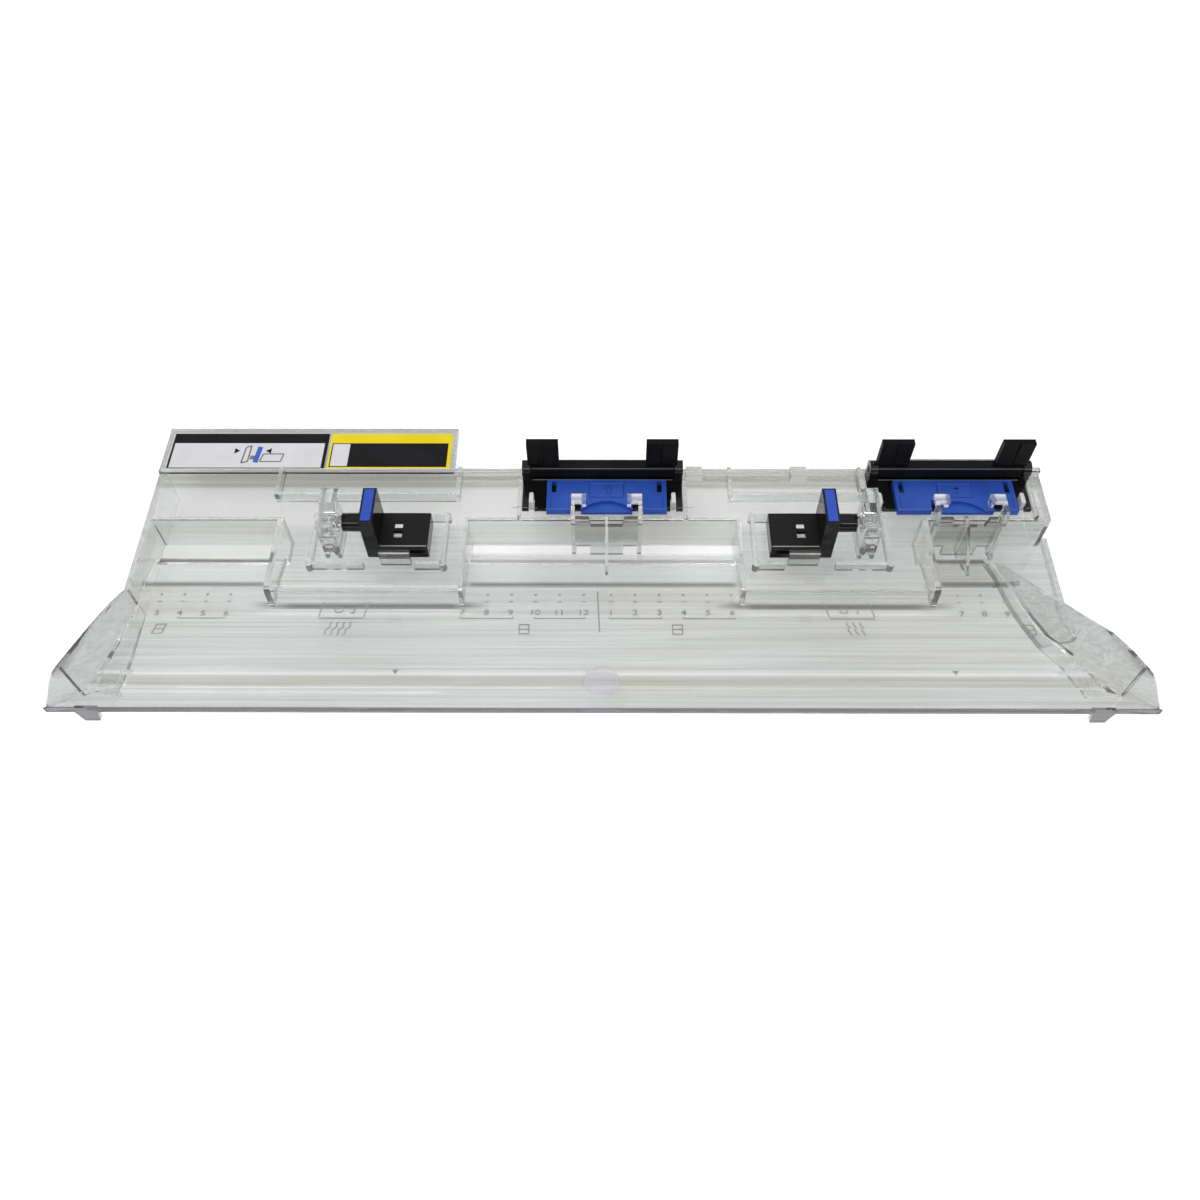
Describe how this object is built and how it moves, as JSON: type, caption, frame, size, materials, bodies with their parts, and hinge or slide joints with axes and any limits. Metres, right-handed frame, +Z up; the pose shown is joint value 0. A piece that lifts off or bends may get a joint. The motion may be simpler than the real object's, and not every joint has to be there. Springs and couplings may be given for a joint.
{
  "type": "server air baffle shroud",
  "caption": "Clear moulded air baffle for a rack server, with two sprung pinch latches and two card retainers with folding gates.",
  "frame": {"origin": "under the middle of the whole part, on the plane it rests on", "axes": "+X across the server to the right, +Y from the front lip to the back, +Z up"},
  "size_m": [0.432, 0.135, 0.047],
  "materials": {
    "clear_plastic": "clear moulded polycarbonate, glossy, with a cool grey tint",
    "black_plastic": "black moulded plastic, satin to gloss",
    "blue_plastic": "blue moulded plastic, satin",
    "spring_wire": "drawn spring wire",
    "white_label": "white film label with a black header field",
    "yellow_label": "yellow film label with a black panel"
  },
  "bodies": {
    "root": {"baffle_shell": "clear_plastic", "white_label": "white_label", "yellow_label": "yellow_label", "left_pinch_spring": "spring_wire", "right_pinch_spring": "spring_wire", "centre_retainer_frame": "black_plastic", "side_retainer_frame": "black_plastic"},
    "left_pinch_body": {"left_pinch_slide": "black_plastic", "left_pinch_pad": "blue_plastic"},
    "right_pinch_body": {"right_pinch_slide": "black_plastic", "right_pinch_pad": "blue_plastic"},
    "centre_latch": {"centre_latch_plate": "blue_plastic"},
    "centre_gate": {"centre_card_gate": "black_plastic"},
    "side_latch": {"side_latch_plate": "blue_plastic"},
    "side_gate": {"side_card_gate": "black_plastic"}
  },
  "joints": [
    {"name": "left_pinch", "type": "slide", "parent": "root", "child": "left_pinch_body", "axis": [-1, 0, 0], "range_m": [0, 0.005], "stiffness_N_per_m": 250, "springref_m": -0.004, "deforming": ["left_pinch_spring"]},
    {"name": "right_pinch", "type": "slide", "parent": "root", "child": "right_pinch_body", "axis": [1, 0, 0], "range_m": [0, 0.005], "stiffness_N_per_m": 250, "springref_m": -0.004, "deforming": ["right_pinch_spring"]},
    {"name": "centre_latch_pull", "type": "slide", "parent": "root", "child": "centre_latch", "axis": [0, -1, 0], "range_m": [0, 0.0035]},
    {"name": "centre_gate_fold", "type": "hinge", "parent": "root", "child": "centre_gate", "pos_m": [0, 0.0375, 0.0298], "axis": [1, 0, 0], "range_deg": [0, 80]},
    {"name": "side_latch_pull", "type": "slide", "parent": "root", "child": "side_latch", "axis": [0, -1, 0], "range_m": [0, 0.0035]},
    {"name": "side_gate_fold", "type": "hinge", "parent": "root", "child": "side_gate", "pos_m": [0.147, 0.0375, 0.0298], "axis": [1, 0, 0], "range_deg": [0, 80]}
  ]
}
